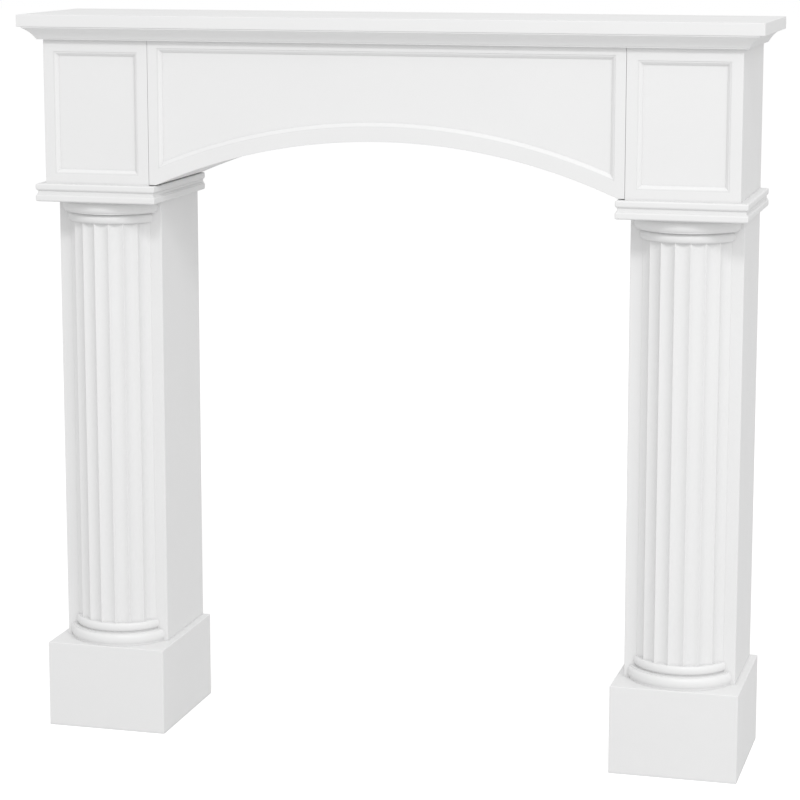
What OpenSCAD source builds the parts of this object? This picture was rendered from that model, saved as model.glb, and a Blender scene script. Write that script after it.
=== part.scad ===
// Fireplace mantelpiece: a painted surround with a moulded shelf, an arched header between two
// panelled end blocks, and two box legs that each carry an engaged fluted column.
// Origin: on the floor under the middle of the shelf. +Y is the wall, -Y is the room, +Z is up.

/* [Overall] */
// Width of the shelf, the widest part
overall_w = 1220; // [1000:1:1500]
// Height from the floor to the top of the shelf
overall_h = 1208; // [950:1:1450]
// Depth of the shelf from the wall
overall_d = 264; // [200:1:330]

/* [Shelf and crown] */
// Thickness of the shelf board
shelf_t = 20; // [12:1:40]
// How far the shelf stands past the header at each end
shelf_end_lip = 35; // [30:1:60]
// How far the shelf stands past the header at the front
shelf_front_lip = 28; // [28:1:50]
// Height of the crown moulding under the shelf
crown_h = 21; // [16:1:30]
// How far the crown stands out at its top
crown_out = 27; // [20:1:28]
// How far the square fillet at the foot of the crown stands out
crown_fillet_out = 8.5; // [4:0.5:14]
// Height of that fillet
crown_fillet_h = 2; // [1:0.5:8]
// Height of the square lip at the top of the crown
crown_lip_h = 1.5; // [1:0.5:3]
// How far the cove of the crown is hollowed
crown_hollow = 1.8; // [1:0.2:3]

/* [Header] */
// Height of the header, from the caps to the shelf
header_h = 257.5; // [200:0.5:360]
// Thickness of the header's boards
header_board_t = 18; // [12:1:25]
// Rise of the arch above its springing
arch_rise = 79.5; // [40:0.5:110]
// Flat shoulder between the end of the arch and the line of the leg
arch_shoulder = 12; // [6:1:30]
// Gap between the shoulder of the arch and the top of the cap
arch_lift = 1.5; // [1:0.5:5]
// Thickness of the bent board that lines the arch
lining_t = 9; // [6:0.5:12]
// Open joint between the arched panel and each end block
joint_gap = 0.5; // [0.5:0.1:2]

/* [Sunk panels] */
// Depth of the sunk panels
sunk_depth = 6; // [4:0.5:8]
// Width of the moulded edge round each sunk panel
sticking_w = 7; // [5:0.5:12]
// Height of the square step at the foot of that moulded edge
sticking_step = 0.5; // [0.5:0.5:3]
// Height of the sharp step at the head of that moulded edge
sticking_quirk = 0.8; // [0.4:0.1:0.8]
// Plain margin at the sides of an end block's sunk panel
end_side_margin = 18; // [12:1:40]
// Plain margin below an end block's sunk panel
end_foot_margin = 16.5; // [12:0.5:40]
// Plain margin between the crown and an end block's sunk panel
end_head_margin = 19.5; // [10:0.5:40]
// Plain margin at the sides of the arched sunk panel
arch_side_margin = 17; // [12:1:40]
// Plain margin between the crown and the arched sunk panel
arch_head_margin = 12; // [8:0.5:30]
// Plain margin between the arch and the sunk panel that follows it
arch_foot_margin = 23.5; // [12:0.5:40]

/* [Legs] */
// Width of a leg
leg_w = 181; // [180:1:240]
// How far the face of a leg is set back from the face of the header
leg_setback = 56; // [50:1:70]
// Thickness of the leg's boards
leg_board_t = 15; // [10:1:20]

/* [Columns] */
// Radius of the shaft over its arrises
shaft_r = 79; // [60:0.5:80]
// Angle from one flute to the next; the flutes fill the half round that shows
flute_pitch = 18; // [17:0.5:20]
// Depth of a flute below its arrises
flute_depth = 4.5; // [2:0.5:6]
// Width of the flat left on each arris
arris_w = 1; // [0.5:0.5:4]
// How far the large ring stands out from the shaft
large_ring_out = 13.5; // [8:0.5:14]
// Height of the large ring
large_ring_h = 21; // [14:1:24]
// How far the small ring stands out from the shaft
small_ring_out = 4.5; // [3:0.5:6]
// Height of the small ring
small_ring_h = 16; // [10:1:20]

/* [Caps] */
// Height of a cap
cap_h = 29.5; // [24:0.5:40]
// How far a cap stands past the leg, and past the face of the header
cap_lip = 13.5; // [8:0.5:20]

/* [Plinths] */
// Height of a plinth block
plinth_h = 145.5; // [90:0.5:220]
// How far a plinth block stands past the sides of the leg
plinth_side_lip = 13; // [6:1:30]
// How far a plinth block stands past the large ring at the front
plinth_front_lip = 2; // [1:0.5:10]
// Thickness of the plinth's boards
plinth_board_t = 15; // [10:1:20]

/* [Hidden] */

paint = "whitesmoke";
arc_fn = 120;
arch_fn = 720;
past = 1;

// Levels, from the floor up
leg_h = overall_h - shelf_t - header_h - cap_h - plinth_h;
cap_z = plinth_h + leg_h;
header_z = cap_z + cap_h;
shelf_z = overall_h - shelf_t;
crown_z = shelf_z - crown_h;

// Plan of the header and the legs
header_half = overall_w / 2 - shelf_end_lip;
header_d = overall_d - shelf_front_lip;
leg_in = header_half - leg_w;
leg_mid = header_half - leg_w / 2;
leg_d = header_d - leg_setback;

// The arch is an arc of one circle, centred over the middle of the opening
arch_half = leg_in - arch_shoulder;
arch_r = (arch_half * arch_half + arch_rise * arch_rise) / (2 * arch_rise);
arch_spring_z = header_z + arch_lift;
arch_centre_z = arch_spring_z + arch_rise - arch_r;
arch_panel_half = leg_in - joint_gap;

// The outermost flutes on a shaft run out where it meets the face of the leg
flutes = 7;
arris_angle = asin(arris_w / 2 / shaft_r);
shaft_axis_in = shaft_r * cos(flutes * flute_pitch / 2 + arris_angle);
flute_half_w = shaft_r * sin(flute_pitch / 2 - arris_angle);
flute_chord = shaft_r * cos(flute_pitch / 2 - arris_angle);
flute_r = (flute_half_w * flute_half_w + flute_depth * flute_depth) / (2 * flute_depth);
flute_axis = flute_chord - flute_depth + flute_r;
large_ring_r = shaft_r + large_ring_out;
small_ring_r = shaft_r + small_ring_out;

// The small ring keeps a flat seat for the end of the shaft, a little wider than its arrises
ring_seat = 0.3;
seat_in = small_ring_out - ring_seat;
small_bead_r = small_ring_h + seat_in - sqrt(2 * small_ring_h * seat_in);

// Plan of a plinth block
plinth_in = leg_in - plinth_side_lip;
plinth_out = header_half + plinth_side_lip;
plinth_d = leg_d + large_ring_r - shaft_axis_in + plinth_front_lip;

// Points along an arc about c, radius r, from angle a to angle b
function arc(c, r, a, b, steps = 8) =
    [for (i = [0 : steps]) c + r * [cos(a + (b - a) * i / steps), sin(a + (b - a) * i / steps)]];

function mirrored(points) =
    [for (i = [len(points) - 1 : -1 : 0]) [-points[i][0], points[i][1]]];

// Everything is drawn from the plane of the wall
module from_wall() {
    translate([0, overall_d / 2, 0])
        children();
}

// The left-hand one of a pair, drawn as the right-hand one
module left_hand() {
    mirror([1, 0, 0])
        children();
}

// Extrude a section drawn as [y, z] along X, or one drawn as [x, z] from the wall to the room
module along_x(length) {
    rotate([90, 0, 90])
        linear_extrude(height = length, center = true)
            children();
}

module into_room(depth) {
    rotate([90, 0, 0])
        linear_extrude(height = depth)
            children();
}

// Shelf

module shelf_board() {
    color(paint)
        from_wall()
            translate([-overall_w / 2, -overall_d, shelf_z])
                cube([overall_w, overall_d, shelf_t]);
}

// Crown: [out, level] from its foot, with a square fillet, a hollow cove and a square lip
cove_ledge = 0.5;
cove_a = [crown_fillet_out + cove_ledge, crown_fillet_h];
cove_b = [crown_out, crown_h - crown_lip_h];
cove_chord = norm(cove_b - cove_a);
cove_r = (cove_chord * cove_chord / 4 + crown_hollow * crown_hollow) / (2 * crown_hollow);
cove_dir = (cove_b - cove_a) / cove_chord;
cove_centre = (cove_a + cove_b) / 2 + (cove_r - crown_hollow) * [cove_dir[1], -cove_dir[0]];
cove_from = atan2(cove_a[1] - cove_centre[1], cove_a[0] - cove_centre[0]);
cove_half = asin(cove_chord / 2 / cove_r);
crown_edge = concat(
    [[0, 0], [crown_fillet_out, 0], [crown_fillet_out, crown_fillet_h]],
    arc(cove_centre, cove_r, cove_from, cove_from - 2 * cove_half, 12),
    [[crown_out, crown_h], [0, crown_h]]
);

module crown_stick_front() {
    intersection() {
        along_x(2 * overall_w)
            polygon([for (p = crown_edge) [-header_d - p[0], crown_z + p[1]]]);
        translate([0, 0, crown_z - past])
            linear_extrude(height = crown_h + 2 * past)
                polygon([
                    [-header_half, -header_d],
                    [header_half, -header_d],
                    [header_half + 2 * crown_out, -header_d - 2 * crown_out],
                    [-header_half - 2 * crown_out, -header_d - 2 * crown_out],
                ]);
    }
}

module crown_stick_end() {
    intersection() {
        into_room(2 * overall_d)
            polygon([for (p = crown_edge) [header_half + p[0], crown_z + p[1]]]);
        translate([0, 0, crown_z - past])
            linear_extrude(height = crown_h + 2 * past)
                polygon([
                    [header_half, 0],
                    [header_half, -header_d],
                    [header_half + 2 * crown_out, -header_d - 2 * crown_out],
                    [header_half + 2 * crown_out, 0],
                ]);
    }
}

module crown_front() {
    color(paint)
        from_wall()
            crown_stick_front();
}

module crown_right() {
    color(paint)
        from_wall()
            crown_stick_end();
}

module crown_left() {
    color(paint)
        from_wall()
            left_hand()
                crown_stick_end();
}

// Edge of a sunk panel: [inset, depth] from the face of the board to the sunk floor. A round nose
// below the quirk turns into a straight splay, which is steeper than the edge is as a whole.
sticking_steps = 8;
sticking_drop = sunk_depth - sticking_step - sticking_quirk;
splay_lean = 1.3;
splay_a = splay_lean * atan(sticking_drop / sticking_w);
nose_r = (sticking_w * tan(splay_a) - sticking_drop) * cos(splay_a) / (1 - cos(splay_a));
sticking_edge = concat(
    [[0, -past], [0, sticking_quirk]],
    [for (i = [1 : sticking_steps]) let (a = splay_a * i / sticking_steps) [
        nose_r * sin(a),
        sticking_quirk + nose_r * (1 - cos(a)),
    ]],
    [[sticking_w, sunk_depth - sticking_step], [sticking_w, sunk_depth]]
);
panel_head_z = crown_z - arch_head_margin;
panel_foot_r = arch_r + arch_foot_margin;

// Header

module sunk_sides(x0, x1, z0, z1) {
    edge = [for (p = sticking_edge) [p[0], -header_d + p[1]]];
    translate([0, 0, z0 - past])
        linear_extrude(height = z1 - z0 + 2 * past)
            polygon(concat(
                [for (p = edge) [x0 + p[0], p[1]]],
                [for (p = mirrored(edge)) [x1 + p[0], p[1]]]
            ));
}

module header_front_board() {
    z0 = header_z + end_foot_margin;
    z1 = crown_z - end_head_margin;
    edge = [for (p = sticking_edge) [p[0], -header_d + p[1]]];
    difference() {
        translate([0, 0, header_z])
            linear_extrude(height = header_h)
                polygon([
                    [leg_in, -header_d],
                    [header_half, -header_d],
                    [header_half - header_board_t, -header_d + header_board_t],
                    [leg_in, -header_d + header_board_t],
                ]);
        intersection() {
            sunk_sides(leg_in + end_side_margin, header_half - end_side_margin, z0, z1);
            along_x(2 * overall_w)
                polygon(concat(
                    [for (p = edge) [p[1], z0 + p[0]]],
                    [for (p = mirrored(edge)) [p[1], z1 + p[0]]]
                ));
        }
    }
}

module header_side_board() {
    translate([0, 0, header_z])
        linear_extrude(height = header_h)
            polygon([
                [header_half, 0],
                [header_half, -header_d],
                [header_half - header_board_t, -header_d + header_board_t],
                [header_half - header_board_t, 0],
            ]);
}

module header_right_front() {
    color(paint)
        from_wall()
            header_front_board();
}

module header_left_front() {
    color(paint)
        from_wall()
            left_hand()
                header_front_board();
}

module header_right_side() {
    color(paint)
        from_wall()
            header_side_board();
}

module header_left_side() {
    color(paint)
        from_wall()
            left_hand()
                header_side_board();
}

module arch_disc(r) {
    translate([0, arch_centre_z])
        circle(r = r, $fn = arch_fn);
}

module arch_panel() {
    edge = [for (p = sticking_edge) [p[0], -header_d + p[1]]];
    half = leg_in - arch_side_margin;
    color(paint)
        from_wall()
            difference() {
                translate([0, -header_d + header_board_t, 0])
                    into_room(header_board_t)
                        difference() {
                            translate([-arch_panel_half, arch_spring_z])
                                square([2 * arch_panel_half, shelf_z - arch_spring_z]);
                            arch_disc(arch_r);
                        }
                difference() {
                    intersection() {
                        sunk_sides(-half, half, arch_spring_z, panel_head_z);
                        along_x(2 * overall_w)
                            polygon(concat(
                                [[-header_d - past, header_z], [-header_d + sunk_depth, header_z]],
                                [for (p = mirrored(edge)) [p[1], panel_head_z + p[0]]]
                            ));
                    }
                    translate([0, 0, arch_centre_z])
                        rotate([90, 0, 0])
                            rotate_extrude($fn = arch_fn)
                                polygon(concat(
                                    [[0, header_d + 2 * past]],
                                    [[panel_foot_r, header_d + 2 * past]],
                                    [for (p = sticking_edge) [panel_foot_r + p[0], header_d - p[1]]],
                                    [[panel_foot_r + sticking_w, header_d - sunk_depth - past]],
                                    [[0, header_d - sunk_depth - past]]
                                ));
                }
            }
}

module arch_lining() {
    color(paint)
        from_wall()
            into_room(header_d - header_board_t)
                intersection() {
                    difference() {
                        arch_disc(arch_r + lining_t);
                        arch_disc(arch_r);
                    }
                    translate([-arch_panel_half, arch_spring_z])
                        square([2 * arch_panel_half, arch_rise + 2 * lining_t]);
                }
}

// Caps: [inset, level] from the underside, with a large bead, a fillet, a groove and a top bead.
// The levels are for a cap of the height they were drawn at, and stretch with it.
cap_drawn_h = 29.5;
cap_bead_r = 3;
cap_bead_top = 8.7;
cap_fillet_in = 1.5;
cap_fillet_z = [11.7, 12.6];
cap_groove_in = [2.9, 3.2];
cap_groove_z = [13.5, 17.6];
cap_top_bead_r = 4.5;
cap_top_bead_z = 22.2;
cap_arris_r = 2.5;
cap_k = cap_h / cap_drawn_h;
cap_edge = concat(
    arc([cap_bead_r, cap_bead_r], cap_bead_r, 270, 180, 6),
    arc([cap_bead_r, cap_bead_top], cap_bead_r, 180, 120, 4),
    [
        [cap_fillet_in, cap_fillet_z[0]],
        [cap_fillet_in, cap_fillet_z[1]],
        [cap_groove_in[0], cap_groove_z[0]],
        [cap_groove_in[1], cap_groove_z[1]],
    ],
    arc([cap_top_bead_r, cap_top_bead_z], cap_top_bead_r, 253, 180, 6),
    arc([cap_arris_r, cap_drawn_h - cap_arris_r], cap_arris_r, 180, 90, 5)
);

module cap_block() {
    half = leg_w / 2 + cap_lip;
    reach = header_d + cap_lip;
    edge = [for (p = cap_edge) [p[0], cap_z + p[1] * cap_k]];
    intersection() {
        along_x(2 * overall_w)
            polygon(concat(
                [[0, cap_z]],
                [for (p = edge) [p[0] - reach, p[1]]],
                [[0, header_z]]
            ));
        translate([leg_mid, 0, 0])
            into_room(reach + past)
                polygon(concat(
                    [for (p = edge) [p[0] - half, p[1]]],
                    [for (p = mirrored(edge)) [p[0] + half, p[1]]]
                ));
    }
}

module cap_right() {
    color(paint)
        from_wall()
            cap_block();
}

module cap_left() {
    color(paint)
        from_wall()
            left_hand()
                cap_block();
}

// Three-sided boxes, open at the wall, with mitred front corners
module box_front(x0, x1, depth, t, z0, h) {
    translate([0, 0, z0])
        linear_extrude(height = h)
            polygon([
                [x0, -depth],
                [x1, -depth],
                [x1 - t, -depth + t],
                [x0 + t, -depth + t],
            ]);
}

module box_side(x, inward, depth, z0, h) {
    translate([0, 0, z0])
        linear_extrude(height = h)
            polygon([
                [x, 0],
                [x, -depth],
                [x + inward, -depth + abs(inward)],
                [x + inward, 0],
            ]);
}

// Legs

module leg_front_board() {
    box_front(leg_in, header_half, leg_d, leg_board_t, plinth_h, leg_h);
}

module leg_outer_board() {
    box_side(header_half, -leg_board_t, leg_d, plinth_h, leg_h);
}

module leg_inner_board() {
    box_side(leg_in, leg_board_t, leg_d, plinth_h, leg_h);
}

module leg_right_front() {
    color(paint)
        from_wall()
            leg_front_board();
}

module leg_left_front() {
    color(paint)
        from_wall()
            left_hand()
                leg_front_board();
}

module leg_right_outer_side() {
    color(paint)
        from_wall()
            leg_outer_board();
}

module leg_left_outer_side() {
    color(paint)
        from_wall()
            left_hand()
                leg_outer_board();
}

module leg_right_inner_side() {
    color(paint)
        from_wall()
            leg_inner_board();
}

module leg_left_inner_side() {
    color(paint)
        from_wall()
            left_hand()
                leg_inner_board();
}

// Columns: turned about an axis behind the face of the leg and cut flat where they meet it

module column_shaft() {
    z0 = plinth_h + large_ring_h + small_ring_h;
    z1 = cap_z - large_ring_h - small_ring_h;
    translate([leg_mid, -leg_d + shaft_axis_in, z0])
        linear_extrude(height = z1 - z0)
            difference() {
                circle(r = shaft_r, $fn = arc_fn);
                for (i = [0 : flutes - 1])
                    rotate([0, 0, (i - (flutes - 1) / 2) * flute_pitch])
                        translate([0, -flute_axis])
                            circle(r = flute_r, $fn = arc_fn);
                translate([-2 * shaft_r, -shaft_axis_in])
                    square([4 * shaft_r, 4 * shaft_r]);
            }
}

// A large ring with a small ring on it, from the level of the large ring's seat
module ring_pair() {
    large_bead_r = large_ring_h / 2;
    difference() {
        rotate_extrude($fn = arc_fn)
            union() {
                square([large_ring_r - large_bead_r, large_ring_h]);
                intersection() {
                    translate([large_ring_r - large_bead_r, large_bead_r])
                        circle(r = large_bead_r, $fn = arc_fn);
                    square([2 * large_ring_r, large_ring_h]);
                }
                translate([0, large_ring_h]) {
                    square([small_ring_r - small_bead_r, small_ring_h]);
                    intersection() {
                        translate([small_ring_r - small_bead_r, small_bead_r])
                            circle(r = small_bead_r, $fn = arc_fn);
                        square([2 * small_ring_r, small_ring_h]);
                    }
                }
            }
        translate([-2 * large_ring_r, -shaft_axis_in, -past])
            cube([4 * large_ring_r, 4 * large_ring_r, large_ring_h + small_ring_h + 2 * past]);
    }
}

module base_rings() {
    translate([leg_mid, -leg_d + shaft_axis_in, plinth_h])
        ring_pair();
}

module neck_rings() {
    translate([leg_mid, -leg_d + shaft_axis_in, cap_z])
        mirror([0, 0, 1])
            ring_pair();
}

module column_right() {
    color(paint)
        from_wall()
            column_shaft();
}

module column_left() {
    color(paint)
        from_wall()
            left_hand()
                column_shaft();
}

module neck_rings_right() {
    color(paint)
        from_wall()
            neck_rings();
}

module neck_rings_left() {
    color(paint)
        from_wall()
            left_hand()
                neck_rings();
}

module base_rings_right() {
    color(paint)
        from_wall()
            base_rings();
}

module base_rings_left() {
    color(paint)
        from_wall()
            left_hand()
                base_rings();
}

// Plinths: a top board on three boards, open at the wall and the floor

plinth_side_h = plinth_h - plinth_board_t;

module plinth_top_board() {
    translate([plinth_in, -plinth_d, plinth_side_h])
        cube([plinth_out - plinth_in, plinth_d, plinth_board_t]);
}

module plinth_front_board() {
    box_front(plinth_in, plinth_out, plinth_d, plinth_board_t, 0, plinth_side_h);
}

module plinth_outer_board() {
    box_side(plinth_out, -plinth_board_t, plinth_d, 0, plinth_side_h);
}

module plinth_inner_board() {
    box_side(plinth_in, plinth_board_t, plinth_d, 0, plinth_side_h);
}

module plinth_right_top() {
    color(paint)
        from_wall()
            plinth_top_board();
}

module plinth_left_top() {
    color(paint)
        from_wall()
            left_hand()
                plinth_top_board();
}

module plinth_right_front() {
    color(paint)
        from_wall()
            plinth_front_board();
}

module plinth_left_front() {
    color(paint)
        from_wall()
            left_hand()
                plinth_front_board();
}

module plinth_right_outer_side() {
    color(paint)
        from_wall()
            plinth_outer_board();
}

module plinth_left_outer_side() {
    color(paint)
        from_wall()
            left_hand()
                plinth_outer_board();
}

module plinth_right_inner_side() {
    color(paint)
        from_wall()
            plinth_inner_board();
}

module plinth_left_inner_side() {
    color(paint)
        from_wall()
            left_hand()
                plinth_inner_board();
}

shelf_board();
crown_front();
crown_left();
crown_right();
arch_panel();
arch_lining();
header_left_front();
header_left_side();
header_right_front();
header_right_side();
cap_left();
cap_right();
leg_left_front();
leg_left_outer_side();
leg_left_inner_side();
leg_right_front();
leg_right_outer_side();
leg_right_inner_side();
column_left();
column_right();
neck_rings_left();
neck_rings_right();
base_rings_left();
base_rings_right();
plinth_left_top();
plinth_left_front();
plinth_left_outer_side();
plinth_left_inner_side();
plinth_right_top();
plinth_right_front();
plinth_right_outer_side();
plinth_right_inner_side();
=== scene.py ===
"""White painted fireplace surround: moulded shelf, arched header, fluted columns on box legs."""
import math

import bmesh
import bpy
import numpy as np
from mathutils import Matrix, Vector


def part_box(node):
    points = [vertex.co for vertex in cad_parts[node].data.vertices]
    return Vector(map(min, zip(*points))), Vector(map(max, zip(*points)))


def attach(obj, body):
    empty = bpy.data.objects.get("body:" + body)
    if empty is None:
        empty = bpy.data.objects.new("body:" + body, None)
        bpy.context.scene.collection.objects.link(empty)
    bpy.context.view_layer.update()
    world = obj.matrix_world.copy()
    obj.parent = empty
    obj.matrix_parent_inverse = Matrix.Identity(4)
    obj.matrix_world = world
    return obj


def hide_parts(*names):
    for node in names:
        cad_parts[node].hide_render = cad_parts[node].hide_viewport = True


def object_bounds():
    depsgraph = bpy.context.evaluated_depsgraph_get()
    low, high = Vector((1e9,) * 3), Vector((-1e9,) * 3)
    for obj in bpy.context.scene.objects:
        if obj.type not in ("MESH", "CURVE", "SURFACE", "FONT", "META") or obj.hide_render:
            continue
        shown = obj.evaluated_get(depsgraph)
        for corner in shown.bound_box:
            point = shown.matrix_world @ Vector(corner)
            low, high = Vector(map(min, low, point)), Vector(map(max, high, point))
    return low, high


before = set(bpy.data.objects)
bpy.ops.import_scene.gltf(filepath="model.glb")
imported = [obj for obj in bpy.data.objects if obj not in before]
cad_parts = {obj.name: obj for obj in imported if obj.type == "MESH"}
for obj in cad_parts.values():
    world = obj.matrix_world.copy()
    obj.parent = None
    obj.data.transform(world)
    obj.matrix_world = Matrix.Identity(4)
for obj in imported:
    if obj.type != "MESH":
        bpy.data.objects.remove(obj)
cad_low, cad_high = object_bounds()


# ---- Camera -------------------------------------------------------------------------------
# A long lens, a little above the shelf and well out to the right, tipped down. The small shift
# lets it tip less, which keeps the legs closer to upright.

tipped_down = 9.44
turned_left = 15.15
camera = bpy.data.objects.new("camera", bpy.data.cameras.new("camera"))
camera.data.lens = 116.0
camera.data.sensor_width = 36.0
camera.data.shift_y = -0.08
camera.location = (1.1, -4.05, 1.38)
camera.rotation_euler = (math.radians(90 - tipped_down), 0.0, math.radians(turned_left))
camera.data.clip_end = 100.0
bpy.context.scene.collection.objects.link(camera)
bpy.context.scene.camera = camera


# ---- Floor and light ----------------------------------------------------------------------
# A pale studio floor that runs off into a white surround, which lights everything evenly. Two
# soft lamps do the modelling: a small one high in front, for crisp shadows under the rings and
# mouldings, and a big one further round to the right.

bpy.context.scene.view_settings.view_transform = "Standard"
white = (1.0, 1.0, 1.0, 1.0)

floor_size = 60.0
floor_grey = (0.73, 0.73, 0.73, 1.0)
floor_glow = 0.43
corners = np.array([(-1, -1), (1, -1), (1, 1), (-1, 1)]) * floor_size / 2
floor = bpy.data.objects.new("studio_floor", bpy.data.meshes.new("studio_floor"))
floor.data.from_pydata([(x, y, cad_low.z) for x, y in corners], [], [(0, 1, 2, 3)])
bpy.context.scene.collection.objects.link(floor)
floor_finish = bpy.data.materials.new("studio_floor")
floor_finish.use_nodes = True
floor_shader = floor_finish.node_tree.nodes["Principled BSDF"]
floor_shader.inputs["Base Color"].default_value = floor_grey
floor_shader.inputs["Roughness"].default_value = 0.9
floor_shader.inputs["Specular IOR Level"].default_value = 0.1
floor_shader.inputs["Emission Color"].default_value = white

# The floor glows where it is looked at but lights nothing, so it is as pale as what lies behind.
floor_seen = floor_finish.node_tree.nodes.new("ShaderNodeLightPath")
floor_lift = floor_finish.node_tree.nodes.new("ShaderNodeMath")
floor_lift.operation = "MULTIPLY"
floor_lift.inputs[1].default_value = floor_glow
floor_finish.node_tree.links.new(floor_seen.outputs["Is Camera Ray"], floor_lift.inputs[0])
floor_finish.node_tree.links.new(floor_lift.outputs["Value"], floor_shader.inputs["Emission Strength"])
floor.data.materials.append(floor_finish)

world = bpy.data.worlds.new("white_studio")
world.use_nodes = True
bpy.context.scene.world = world
sky = world.node_tree
surround = sky.nodes["Background"]
surround.inputs["Color"].default_value = white
surround.inputs["Strength"].default_value = 0.78
backdrop = sky.nodes.new("ShaderNodeBackground")
backdrop.inputs["Color"].default_value = white
backdrop.inputs["Strength"].default_value = 1.0
seen = sky.nodes.new("ShaderNodeLightPath")
either = sky.nodes.new("ShaderNodeMixShader")
sky.links.new(seen.outputs["Is Camera Ray"], either.inputs["Fac"])
sky.links.new(surround.outputs["Background"], either.inputs[1])
sky.links.new(backdrop.outputs["Background"], either.inputs[2])
sky.links.new(either.outputs["Shader"], sky.nodes["World Output"].inputs["Surface"])


def soft_lamp(name, azimuth, elevation, distance, size, power):
    """A square area lamp aimed at the middle of the surround. Its azimuth is 0 in front and 90 on
    the right, and its elevation is 0 at the level of the middle, both in degrees."""
    lamp = bpy.data.objects.new(name, bpy.data.lights.new(name, "AREA"))
    lamp.data.size = size
    lamp.data.energy = power
    swung = math.radians(azimuth)
    raised = math.radians(elevation)
    towards_lamp = np.array([
        math.sin(swung) * math.cos(raised),
        -math.cos(swung) * math.cos(raised),
        math.sin(raised),
    ])
    aim = np.array((cad_low + cad_high) / 2)
    lamp.location = aim + distance * towards_lamp
    lamp.rotation_euler = (math.pi / 2 - raised, 0.0, swung)
    bpy.context.scene.collection.objects.link(lamp)


soft_lamp("high_lamp", azimuth=12.0, elevation=44.0, distance=8.0, size=1.2, power=135.0)
soft_lamp("side_lamp", azimuth=45.0, elevation=35.0, distance=8.0, size=3.2, power=110.0)


# ---- Paint --------------------------------------------------------------------------------
# Satin white, sprayed over primed board and turned wood. It dries with a faint orange peel, a
# slight cloudiness and a sheen that wanders a little. Its colour is also painted grey in the
# crevices, as painted shade.

MM = 0.001
full_coat = (0.83, 0.83, 0.83, 1.0)
thin_coat = (0.80, 0.80, 0.80, 1.0)
# The grey of the painted shade in crevices.
painted_shade_grey = (0.66, 0.66, 0.66, 1.0)
sheen_drift = 0.05

sprayed = bpy.data.node_groups.new("sprayed_film", "ShaderNodeTree")
limits = {
    "Peel Size": (0.0005, 0.05),
    "Peel Depth": (0.0, 1.0),
    "Cloudiness": (0.0, 1.0),
    "Crevice Reach": (0.001, 0.1),
}
for socket, (least, most) in limits.items():
    made = sprayed.interface.new_socket(socket, in_out="INPUT", socket_type="NodeSocketFloat")
    made.min_value = least
    made.max_value = most
for socket in ("Cloud", "Sheen", "Crevice Shade"):
    sprayed.interface.new_socket(socket, in_out="OUTPUT", socket_type="NodeSocketFloat")
sprayed.interface.new_socket("Normal", in_out="OUTPUT", socket_type="NodeSocketVector")

inside = sprayed.nodes
given = inside.new("NodeGroupInput")
result = inside.new("NodeGroupOutput")
place = inside.new("ShaderNodeTexCoord")

# Orange peel: a fine noise of the size given, as a bump.
per_metre = inside.new("ShaderNodeMath")
per_metre.operation = "DIVIDE"
per_metre.inputs[0].default_value = 1.0
sprayed.links.new(given.outputs["Peel Size"], per_metre.inputs[1])
peel = inside.new("ShaderNodeTexNoise")
peel.inputs["Detail"].default_value = 2.0
sprayed.links.new(place.outputs["Object"], peel.inputs["Vector"])
sprayed.links.new(per_metre.outputs["Value"], peel.inputs["Scale"])
raised = inside.new("ShaderNodeBump")
raised.inputs["Distance"].default_value = 0.1 * MM
sprayed.links.new(given.outputs["Peel Depth"], raised.inputs["Strength"])
sprayed.links.new(peel.outputs["Fac"], raised.inputs["Height"])
sprayed.links.new(raised.outputs["Normal"], result.inputs["Normal"])

# Cloudiness and sheen: one broad noise, about a hand wide.
drift = inside.new("ShaderNodeTexNoise")
drift.inputs["Scale"].default_value = 7.0
drift.inputs["Detail"].default_value = 4.0
sprayed.links.new(place.outputs["Object"], drift.inputs["Vector"])
spread = inside.new("ShaderNodeMath")
spread.operation = "MULTIPLY"
sprayed.links.new(drift.outputs["Fac"], spread.inputs[0])
sprayed.links.new(given.outputs["Cloudiness"], spread.inputs[1])
sprayed.links.new(spread.outputs["Value"], result.inputs["Cloud"])
sprayed.links.new(drift.outputs["Fac"], result.inputs["Sheen"])

# Painted shade: how much of the air within reach of a point is shut off, which greys the paint in
# crevices.
open_air = inside.new("ShaderNodeAmbientOcclusion")
open_air.samples = 8
sprayed.links.new(given.outputs["Crevice Reach"], open_air.inputs["Distance"])
shut_in = inside.new("ShaderNodeMath")
shut_in.operation = "SUBTRACT"
shut_in.inputs[0].default_value = 1.0
sprayed.links.new(open_air.outputs["AO"], shut_in.inputs[1])
sprayed.links.new(shut_in.outputs["Value"], result.inputs["Crevice Shade"])


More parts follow.
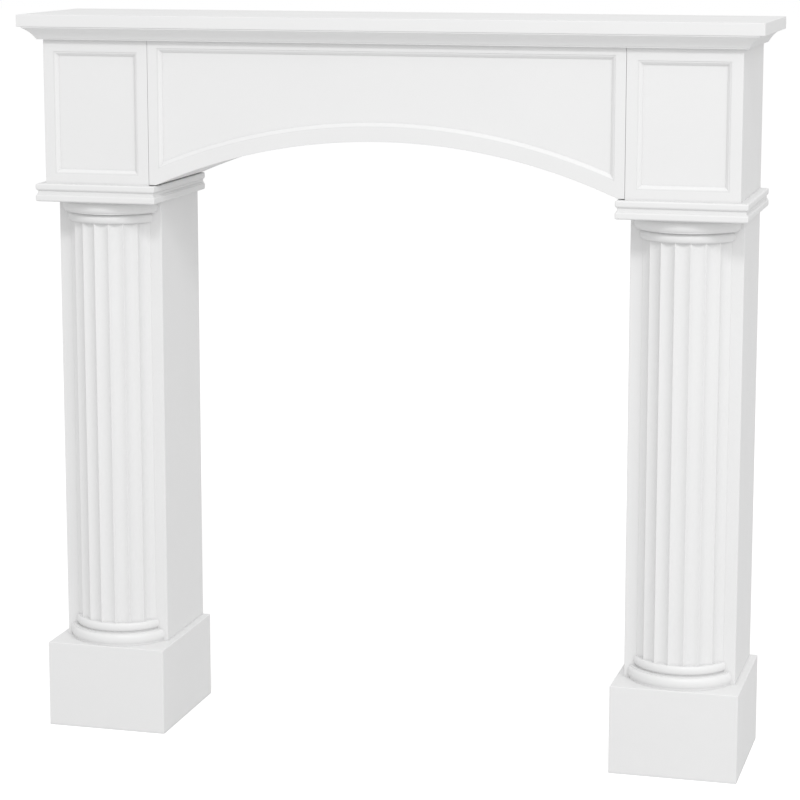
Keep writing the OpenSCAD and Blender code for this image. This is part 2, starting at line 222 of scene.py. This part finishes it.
def paint(name, reach, peel_size, peel_depth, roughness):
    """Satin paint. Its colour goes from the full coat to the thin one by the cloud mask, and darkens
    to a painted shade grey within reach of a corner. Its roughness drifts a little either side of
    the one given."""
    finish = bpy.data.materials.new(name)
    finish.use_nodes = True
    tree = finish.node_tree
    shader = tree.nodes["Principled BSDF"]
    film = tree.nodes.new("ShaderNodeGroup")
    film.node_tree = sprayed
    film.inputs["Peel Size"].default_value = peel_size
    film.inputs["Peel Depth"].default_value = peel_depth
    film.inputs["Cloudiness"].default_value = 1.0
    film.inputs["Crevice Reach"].default_value = reach
    tint = tree.nodes.new("ShaderNodeMix")
    tint.data_type = "RGBA"
    tint.inputs["A"].default_value = full_coat
    tint.inputs["B"].default_value = thin_coat
    tree.links.new(film.outputs["Cloud"], tint.inputs["Factor"])
    # Painted shade: the colour turns grey where nearby surfaces shut the point in.
    painted_shade_mix = tree.nodes.new("ShaderNodeMix")
    painted_shade_mix.data_type = "RGBA"
    painted_shade_mix.inputs["B"].default_value = painted_shade_grey
    tree.links.new(film.outputs["Crevice Shade"], painted_shade_mix.inputs["Factor"])
    tree.links.new(tint.outputs["Result"], painted_shade_mix.inputs["A"])
    tree.links.new(painted_shade_mix.outputs["Result"], shader.inputs["Base Color"])
    sheen = tree.nodes.new("ShaderNodeMapRange")
    sheen.inputs["To Min"].default_value = roughness - sheen_drift
    sheen.inputs["To Max"].default_value = roughness + sheen_drift
    tree.links.new(film.outputs["Sheen"], sheen.inputs["Value"])
    tree.links.new(sheen.outputs["Result"], shader.inputs["Roughness"])
    tree.links.new(film.outputs["Normal"], shader.inputs["Normal"])
    shader.inputs["Specular IOR Level"].default_value = 0.4
    return finish


board_paint = paint(
    "satin_white_on_board", reach=5.0 * MM, peel_size=1.6 * MM, peel_depth=0.25, roughness=0.45
)
moulding_paint = paint(
    "satin_white_on_moulding", reach=14.0 * MM, peel_size=1.2 * MM, peel_depth=0.2, roughness=0.42
)
turned_paint = paint(
    "satin_white_on_turning", reach=5.0 * MM, peel_size=1.2 * MM, peel_depth=0.2, roughness=0.42
)


# ---- Shelf board --------------------------------------------------------------------------
# One square-edged board. Its arrises are sanded just enough to hold paint, and its back edge
# stays flat for the wall.

arris = 1.2 * MM
corner = 1.5 * MM
same_point = 0.001 * MM
edge_steps = 4
corner_points = 7


def stacked(name, loops, finish, *stands_for, crease=32.0):
    """A closed surface through a stack of closed loops with as many points each: every pair is
    joined by a band, and the first and last loop are closed flat. It replaces the CAD nodes named."""
    loops = np.asarray(loops, float)
    count, around = loops.shape[:2]
    index = np.arange(count * around).reshape(count, around)
    one = index[:-1]
    two = index[1:]
    band = np.stack([one, np.roll(one, -1, 1), np.roll(two, -1, 1), two], -1).reshape(-1, 4)
    faces = [*band.tolist(), index[0][::-1].tolist(), index[-1].tolist()]
    mesh = bpy.data.meshes.new(name)
    mesh.from_pydata(loops.reshape(-1, 3), [], faces)
    work = bmesh.new()
    work.from_mesh(mesh)
    bmesh.ops.remove_doubles(work, verts=work.verts, dist=same_point)
    bmesh.ops.recalc_face_normals(work, faces=work.faces)
    work.to_mesh(mesh)
    work.free()
    mesh.shade_smooth()
    mesh.set_sharp_from_angle(angle=math.radians(crease))
    mesh.materials.append(finish)
    piece = bpy.data.objects.new(name, mesh)
    bpy.context.scene.collection.objects.link(piece)
    flat_first = piece.modifiers.new("flat_faces_first", "WEIGHTED_NORMAL")
    flat_first.keep_sharp = True
    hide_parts(*stands_for)
    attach(piece, "root")


def plan_rings(low, high, inset, level, radius):
    """Level rings of a block that stands on a wall: at each level the rectangle is drawn in by
    inset at the front and both ends, its two front corners are quarter circles of the radius
    given, and its back stays put."""
    inset = np.asarray(inset, float)
    level = np.asarray(level, float)
    turn = np.linspace(0.0, math.pi / 2, corner_points)
    left = np.stack([-np.cos(turn), -np.sin(turn)], 1) * radius + radius
    right = left[::-1] * np.array([-1.0, 1.0])
    ring = np.concatenate([[[0.0, 0.0]], left, right, [[0.0, 0.0]]])
    at_corner = [1, corner_points, corner_points, 1]
    pull = np.repeat([[1.0, 0.0], [1.0, 1.0], [-1.0, 1.0], [-1.0, 0.0]], at_corner, axis=0)
    block = [[low.x, high.y], [low.x, low.y], [high.x, low.y], [high.x, high.y]]
    base = np.repeat(block, at_corner, axis=0)
    flat = base[None] + ring[None] + inset[:, None, None] * pull[None]
    height = np.broadcast_to(level[:, None, None], (len(level), len(base), 1))
    return np.concatenate([flat, height], -1)


def eased_edges(z0, z1, below, above):
    """Inset and level of a square edge from z0 to z1, with quarter rounds of radius below and above."""
    turn = np.linspace(0.0, math.pi / 2, edge_steps + 1)
    inset = np.concatenate([below * (1 - np.sin(turn)), above * (1 - np.cos(turn))])
    level = np.concatenate([z0 + below * (1 - np.cos(turn)), z1 - above * (1 - np.sin(turn))])
    return inset, level


shelf_low, shelf_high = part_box("shelf_board")
stacked(
    "shelf",
    plan_rings(shelf_low, shelf_high, *eased_edges(shelf_low.z, shelf_high.z, arris, arris), corner),
    board_paint,
    "shelf_board",
)


# ---- Crown moulding -----------------------------------------------------------------------
# A run moulding under the shelf: a square lip, a shallow hollow and a square fillet at its foot.
# Three sticks, cut at 45 degrees where they meet at the two front corners.

crown_low, crown_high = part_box("crown_front")
wall = cad_high.y
face_y = crown_high.y
face_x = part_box("crown_right")[0].x
crown_foot = crown_low.z
crown_h = crown_high.z - crown_low.z
crown_out = crown_high.y - crown_low.y
fillet_out = 8.5 * MM
fillet_h = 2.0 * MM
fillet_under = 0.7 * MM
fillet_over = 0.3 * MM
ledge = 0.5 * MM
hollow = 1.8 * MM
hollow_steps = 16
lip_h = 1.5 * MM
lip_arris = 0.2 * MM


def eased(outline, size):
    """Rounds the corners of a closed outline. Each corner becomes the parabola (1 - t)^2 start +
    2 t (1 - t) corner + t^2 end, whose start and end lie size away from the corner along its two
    sides, or 0.45 of the shorter side where that is less."""
    here = np.asarray(outline, float)
    ahead = np.roll(here, -1, 0) - here
    behind = np.roll(here, 1, 0) - here
    length_ahead = np.linalg.norm(ahead, axis=1, keepdims=True)
    length_behind = np.linalg.norm(behind, axis=1, keepdims=True)
    reach = np.asarray(size, float)[:, None]
    reach = np.minimum(reach, 0.45 * np.minimum(length_ahead, length_behind))
    start = here + behind / length_behind * reach
    end = here + ahead / length_ahead * reach
    t = np.linspace(0.0, 1.0, edge_steps + 1)[None, :, None]
    curve = (1 - t) ** 2 * start[:, None] + 2 * t * (1 - t) * here[:, None] + t ** 2 * end[:, None]
    return curve.reshape(-1, here.shape[1])


def bowed(start, end, depth, steps):
    """Points from start to end along an arc that bows out by depth to the left of the straight line.
    Its radius is (length^2 / 4 + depth^2) / (2 depth)."""
    start = np.asarray(start, float)
    end = np.asarray(end, float)
    along = end - start
    length = np.linalg.norm(along)
    radius = (length ** 2 / 4 + depth ** 2) / (2 * depth)
    t = np.linspace(-1.0, 1.0, steps + 1)[:, None] * math.asin(length / 2 / radius)
    side = np.array([-along[1], along[0]]) / length
    middle = (start + end) / 2 + side * (depth - radius)
    return middle + radius * (np.cos(t) * side + np.sin(t) * along / length)


# The fillet's last corner lies inside the moulding, so only the first three are on its outline.
fillet = eased(
    [[0, 0], [fillet_out, 0], [fillet_out, fillet_h], [0, fillet_h]], [0, fillet_under, fillet_over, 0]
)
crown_edge = np.concatenate([
    fillet[:3 * (edge_steps + 1)],
    bowed([fillet_out + ledge, fillet_h], [crown_out, crown_h - lip_h], hollow, hollow_steps),
    [[crown_out, crown_h - lip_arris], [crown_out - lip_arris, crown_h], [0, crown_h]],
])


def crown_stick(side):
    """The crown's section at both ends of one stick. At a mitre, a point that stands out by p lies
    p past the corner, and at the wall the stick is cut square."""
    out = crown_edge[:, 0]
    level = crown_foot + crown_edge[:, 1]
    if side == "front":
        ends = [np.stack([end * (face_x + out), face_y - out, level], -1) for end in (-1, 1)]
    else:
        end = 1 if side == "right" else -1
        mitre = np.stack([end * (face_x + out), face_y - out, level], -1)
        ends = [mitre, np.stack([end * (face_x + out), np.full_like(out, wall), level], -1)]
    stacked(f"crown_moulding_{side}", ends, moulding_paint, f"crown_{side}")


for side in ("front", "left", "right"):
    crown_stick(side)


# ---- End blocks of the header -------------------------------------------------------------
# A face board with a sunk panel, mitred at the outer corner to a plain return board. A small
# moulding is worked round the sunk panel: a sharp quirk, a round nose, a splay and a fine step.

end_side = 18.0 * MM
end_foot = 16.5 * MM
end_head = 19.5 * MM
panel_depth = 6.0 * MM
sticking = 7.0 * MM
quirk = 0.8 * MM
step = 0.5 * MM
splay_lean = 1.3
nose_steps = 8
joint_ease = 0.4 * MM
round_points = 5

# In section the nose is an arc that starts level at the quirk and turns to the splay's slope. The
# splay is steeper than a straight line from quirk to step, and the nose's radius makes up for it.
drop = panel_depth - step - quirk
splay = splay_lean * math.atan(drop / sticking)
nose = (sticking * math.tan(splay) - drop) * math.cos(splay) / (1 - math.cos(splay))
nose_turn = np.linspace(0.0, splay, nose_steps + 1)
sticking_inset = np.concatenate([[0.0], nose * np.sin(nose_turn), [sticking, sticking]])
sticking_depth = np.concatenate([
    [0.0], quirk + nose * (1 - np.cos(nose_turn)), [panel_depth - step, panel_depth]
])

# The edge at the joint is a quarter round. At the outer corner the face board has the front half of
# one, and the return board has the other half.
joint_turn = np.linspace(0.0, math.pi / 2, round_points)
joint_inset = joint_ease * (1 - np.cos(joint_turn))
joint_depth = joint_ease * (1 - np.sin(joint_turn))
corner_turn = np.linspace(math.pi / 4, math.pi / 2, round_points)
corner_inset = corner * (1 - np.cos(corner_turn))
corner_depth = corner * (1 - np.sin(corner_turn))


def face_board(name, x_joint, x_corner, stands_for):
    """The face board of an end block, as rings of four corners from its back, round its front edges
    and down the moulding to its sunk floor. Each ring is drawn in from the one before it."""
    low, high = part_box(stands_for)
    out = 1 if x_corner > x_joint else -1
    drawn_in = end_side + sticking_inset
    plain = np.zeros(1 + round_points)
    joint_x = x_joint + out * np.concatenate([[0.0], joint_inset, drawn_in])
    joint_y = np.concatenate([[high.y], low.y + joint_depth, low.y + sticking_depth])
    corner_x = x_corner - out * np.concatenate([[high.y - low.y], corner_inset, drawn_in])
    corner_y = np.concatenate([[high.y], low.y + corner_depth, low.y + sticking_depth])
    foot = np.concatenate([low.z + plain, low.z + end_foot + sticking_inset])
    head = np.concatenate([high.z + plain, crown_foot - end_head - sticking_inset])
    loops = [
        np.stack([joint_x, joint_y, foot], -1),
        np.stack([corner_x, corner_y, foot], -1),
        np.stack([corner_x, corner_y, head], -1),
        np.stack([joint_x, joint_y, head], -1),
    ]
    stacked(name, np.stack(loops, 1), board_paint, stands_for)


def upright_board(name, outline, z0, z1, stands_for):
    """A board that stands on end: its outline in plan, carried straight up from z0 to z1."""
    outline = np.asarray(outline, float)
    level = np.broadcast_to(np.array([z0, z1])[:, None, None], (2, len(outline), 1))
    stacked(name, np.concatenate([np.stack([outline, outline]), level], -1), board_paint, stands_for)


def corner_round(x, y, out, first, last):
    """Part of the quarter round at a front corner (x, y) whose face looks towards out. The turn runs
    from 0 on the side to 90 degrees on the front, and first and last are in degrees."""
    t = np.radians(np.linspace(first, last, round_points))
    return np.stack([x - out * corner * (1 - np.cos(t)), y + corner * (1 - np.sin(t))], 1)


def side_outline(x, y, out, thickness):
    """Plan of a side board: from the wall along its face to the mitre at the front, and back inside."""
    inner = x - out * thickness
    return np.concatenate([
        [[x, wall]],
        corner_round(x, y, out, 0, 45),
        [[inner, y + thickness], [inner, wall]],
    ])


for hand, out in (("left", -1), ("right", 1)):
    low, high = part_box(f"header_{hand}_front")
    joint = min(abs(low.x), abs(high.x)) * out
    face_board(f"end_block_face_{hand}", joint, face_x * out, f"header_{hand}_front")
    return_plan = side_outline(face_x * out, low.y, out, high.y - low.y)
    upright_board(f"end_block_return_{hand}", return_plan, low.z, high.z, f"header_{hand}_side")


# ---- Arched panel and its lining ----------------------------------------------------------
# The panel between the end blocks is cut to a shallow arch below. Its sunk panel follows the
# arch. A bent board lines the arch from the back of the panel to the wall.

arch_low, arch_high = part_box("arch_panel")
lining_low, lining_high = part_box("arch_lining")
panel_half = arch_high.x
spring = arch_low.z
arch_half = 382.0 * MM
arch_rise = 79.5 * MM
arch_side = 16.5 * MM
arch_head = 12.0 * MM
arch_foot = 23.5 * MM
lining_t = 9.0 * MM
arch_r = (arch_half ** 2 + arch_rise ** 2) / (2 * arch_rise)
arch_centre = spring + arch_rise - arch_r
arch_steps = 96


def over_arch(x, inset):
    """Level of the arch's curve drawn in by inset, at distance x from the middle: the arch's centre
    plus the square root of (radius + inset) squared less x squared."""
    return arch_centre + np.sqrt((arch_r + inset) ** 2 - x ** 2)


def arch_outline(inset, y):
    """The panel's outline drawn in by inset: along the top, down the right, then along the
    shoulder, the arch and the other shoulder."""
    half = panel_half - inset
    shoulder = math.sqrt((arch_r + inset) ** 2 - (spring + inset - arch_centre) ** 2)
    curve = np.linspace(shoulder, -shoulder, arch_steps - 1)
    x = np.concatenate([[-half, half], [half], curve, [-half]])
    top = [arch_high.z, arch_high.z]
    z = np.concatenate([top, [spring + inset], over_arch(curve, inset), [spring + inset]])
    return np.stack([x, np.full_like(x, y), z], -1)


def sunk_outline(inset, y):
    """The sunk panel's outline drawn in by inset, with as many points as the panel's own."""
    half = panel_half - arch_side - inset
    top = crown_foot - arch_head - inset
    curve = np.linspace(half, -half, arch_steps + 1)
    x = np.concatenate([[-half, half], curve])
    z = np.concatenate([[top, top], over_arch(curve, arch_foot + inset)])
    return np.stack([x, np.full_like(x, y), z], -1)


arch_loops = [
    arch_outline(0.0, arch_high.y),
    *[arch_outline(inset, arch_low.y + depth) for inset, depth in zip(joint_inset, joint_depth)],
    *[sunk_outline(inset, arch_low.y + depth) for inset, depth in zip(sticking_inset, sticking_depth)],
]
stacked("arched_panel", arch_loops, board_paint, "arch_panel", crease=25.0)

lining_x = np.concatenate([[-panel_half], np.linspace(-arch_half, arch_half, arch_steps), [panel_half]])
under = np.maximum(over_arch(lining_x, 0.0), spring)
over = over_arch(lining_x, lining_t)
near = np.full_like(lining_x, lining_low.y)
far = np.full_like(lining_x, lining_high.y)
lining_loops = [
    np.stack([lining_x, near, under], -1),
    np.stack([lining_x, far, under], -1),
    np.stack([lining_x, far, over], -1),
    np.stack([lining_x, near, over], -1),
]
stacked("arch_lining_board", np.stack(lining_loops, 1), board_paint, "arch_lining")


# ---- Caps ---------------------------------------------------------------------------------
# A moulded slab on each leg, which carries the end of the header. From below: a large bead, a
# small fillet, a groove and a top bead, worked round the front and both ends.

bead_r = 3.0 * MM
bead_upper = 8.7 * MM
bead_fillet_in = 1.5 * MM
bead_fillet_foot = 11.7 * MM
bead_fillet_head = 12.5 * MM
groove = MM * np.array([[2.8, 13.4], [3.0, 13.7], [3.2, 17.6]])
top_bead_under_r = 4.5 * MM
top_bead_lower = 22.2 * MM
top_bead_over_r = 2.5 * MM
top_bead_upper = 27.0 * MM
cap_corner = 2.0 * MM
bead_steps = 6


def bead_arc(level, radius, first, last):
    """Inset and level along an arc that just reaches the outer face. Its centre lies radius in at
    the level given, and the turn runs from first to last in degrees."""
    t = np.radians(np.linspace(first, last, bead_steps + 1))
    return np.stack([radius + radius * np.cos(t), level + radius * np.sin(t)], 1)


cap_edge = np.concatenate([
    bead_arc(bead_r, bead_r, 270, 180),
    bead_arc(bead_upper, bead_r, 180, 120),
    [[bead_fillet_in, bead_fillet_foot], [bead_fillet_in, bead_fillet_head]],
    groove,
    bead_arc(top_bead_lower, top_bead_under_r, 253, 180),
    bead_arc(top_bead_upper, top_bead_over_r, 180, 90),
])
for hand in ("left", "right"):
    low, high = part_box(f"cap_{hand}")
    cap = plan_rings(low, high, cap_edge[:, 0], low.z + cap_edge[:, 1], cap_corner)
    stacked(f"moulded_cap_{hand}", cap, moulding_paint, f"cap_{hand}", crease=40.0)


# ---- Leg boxes ----------------------------------------------------------------------------
# Three boards glued at mitred corners and open towards the wall. The corners are rounded over
# by the same small radius as the rest.


def front_outline(x0, x1, y, thickness):
    """Plan of a front board: half of the round at each corner, and the mitres behind it."""
    return np.concatenate([
        corner_round(x0, y, -1, 45, 90),
        corner_round(x1, y, 1, 90, 45),
        [[x1 - thickness, y + thickness], [x0 + thickness, y + thickness]],
    ])


def box_boards(box, hand):
    """The three boards of a box, each in the place and length of its CAD board."""
    node = f"{box}_{hand}"
    low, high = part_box(f"{node}_front")
    thickness = high.y - low.y
    out = -1 if hand == "left" else 1
    outer, inner = (high.x, low.x) if out > 0 else (low.x, high.x)
    face_plan = front_outline(low.x, high.x, low.y, thickness)
    outer_plan = side_outline(outer, low.y, out, thickness)
    inner_plan = side_outline(inner, low.y, -out, thickness)
    upright_board(f"{box}_face_{hand}", face_plan, low.z, high.z, f"{node}_front")
    upright_board(f"{box}_outer_side_{hand}", outer_plan, low.z, high.z, f"{node}_outer_side")
    upright_board(f"{box}_inner_side_{hand}", inner_plan, low.z, high.z, f"{node}_inner_side")


for hand in ("left", "right"):
    box_boards("leg", hand)


# ---- Columns ------------------------------------------------------------------------------
# A fluted shaft, sawn lengthways and planted on the leg. Seven round flutes meet at narrow
# arrises, and the outermost run out where the shaft meets the board.

shaft_r = 79.0 * MM
flutes = 7
flute_depth = 4.5 * MM
flute_points = 23
flute_pitch = math.radians(18.0)
arris_w = 1.0 * MM
arris_wear = 0.12 * MM
shaft_levels = 9

arris_turn = math.asin(arris_w / 2 / shaft_r)
flute_turn = flute_pitch / 2 - arris_turn
chord_half = shaft_r * math.sin(flute_turn)
chord = shaft_r * math.cos(flute_turn)
flute_r = (chord_half ** 2 + flute_depth ** 2) / (2 * flute_depth)
flute_axis = chord - flute_depth + flute_r
shaft_edge = flutes * flute_pitch / 2 + arris_turn
axis_in = shaft_r * math.cos(shaft_edge)


def shaft_outline(middle, axis_y):
    """Plan of the fluted half shaft. In a flute the radius is the nearer crossing with the flute's
    circle, a cos(t) - sqrt(r^2 - a^2 sin(t)^2), and each arris is worn a little at its two corners."""
    t = flute_turn * np.linspace(-1.0, 1.0, flute_points)
    radius = flute_axis * np.cos(t) - np.sqrt(flute_r ** 2 - (flute_axis * np.sin(t)) ** 2)
    radius[[0, -1]] -= arris_wear
    centres = (np.arange(flutes) - (flutes - 1) / 2)[:, None] * flute_pitch
    turns = np.concatenate([centres + t, centres + flute_pitch / 2], 1).ravel()
    radii = np.concatenate([np.tile(radius, (flutes, 1)), np.full((flutes, 1), shaft_r)], 1).ravel()
    turns = np.concatenate([
        [-shaft_edge, -shaft_edge + arris_turn], turns[:-1], [shaft_edge - arris_turn, shaft_edge]
    ])
    radii = np.concatenate([[shaft_r, shaft_r], radii[:-1], [shaft_r, shaft_r]])
    return np.stack([middle + radii * np.sin(turns), axis_y - radii * np.cos(turns)], 1)


for hand in ("left", "right"):
    low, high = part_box(f"column_{hand}")
    outline = shaft_outline((low.x + high.x) / 2, high.y + axis_in)
    levels = np.linspace(low.z, high.z, shaft_levels)
    height = np.broadcast_to(levels[:, None, None], (shaft_levels, len(outline), 1))
    shaft = np.concatenate([np.broadcast_to(outline, (shaft_levels, *outline.shape)), height], -1)
    stacked(f"fluted_shaft_{hand}", shaft, turned_paint, f"column_{hand}", crease=40.0)


# ---- Rings --------------------------------------------------------------------------------
# A large and a small half-round, turned as one and sawn in half with the shaft. The same piece
# serves at the foot and, turned over, at the neck.

large_r = shaft_r + 13.5 * MM
large_h = 21.0 * MM
large_points = 25
small_r = shaft_r + 4.5 * MM
small_h = 16.0 * MM
small_points = 21
ring_points = 97
last_step = 0.3 * MM
seat_fill = math.radians(45)
joint_fill = math.radians(60)
flatness = 0.75
large_bead = large_h / 2
small_out = small_r - shaft_r - last_step
small_bead = small_h + small_out - math.sqrt(2 * small_h * small_out)


def ring_section():
    """Radius and level of the ring pair's outline, from its seat on the plinth to the shaft. Both are
    half-rounds a little flat in front: level is b + b sin(t) and radius is R - b + b cos(t) to the
    power of flatness. Paint fills the bottom of the narrow gaps at the seat and between them."""
    t = np.linspace(-seat_fill, joint_fill, large_points)
    large = np.stack([
        large_r - large_bead + large_bead * np.cos(t) ** flatness,
        large_bead + large_bead * np.sin(t),
    ], 1)
    top = math.asin((small_h - small_bead) / small_bead)
    t = np.linspace(-joint_fill, top, small_points)
    small = np.stack([
        small_r - small_bead + small_bead * np.cos(t) ** flatness,
        large_h + small_bead + small_bead * np.sin(t),
    ], 1)
    seat = [[large[0, 0], 0.0]]
    joint = [[large[-1, 0], large_h], [small[0, 0], large_h]]
    return np.concatenate([seat, large, joint, small])


ring_radius, ring_level = ring_section().T
for hand in ("left", "right"):
    for end in ("base", "neck"):
        low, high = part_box(f"{end}_rings_{hand}")
        middle = (low.x + high.x) / 2
        axis_y = high.y + axis_in
        radius = ring_radius[:, None]
        level = low.z + ring_level if end == "base" else high.z - ring_level
        swing = np.arccos(axis_in / radius) * np.linspace(-1.0, 1.0, ring_points)
        ring = np.stack([
            middle + radius * np.sin(swing),
            axis_y - radius * np.cos(swing),
            np.broadcast_to(level[:, None], swing.shape),
        ], -1)
        stacked(f"{end}_rings_turned_{hand}", ring, turned_paint, f"{end}_rings_{hand}", crease=50.0)


# ---- Plinths ------------------------------------------------------------------------------
# A top board on three mitred boards, flush all round so that the joint is lost under the paint.

for hand in ("left", "right"):
    low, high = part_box(f"plinth_{hand}_top")
    inset, level = eased_edges(low.z, high.z, 0.0, corner)
    # The lower edge is square, so one of its points is enough.
    top_board = plan_rings(low, high, inset[edge_steps:], level[edge_steps:], corner)
    stacked(f"plinth_top_{hand}", top_board, board_paint, f"plinth_{hand}_top")
    box_boards("plinth", hand)
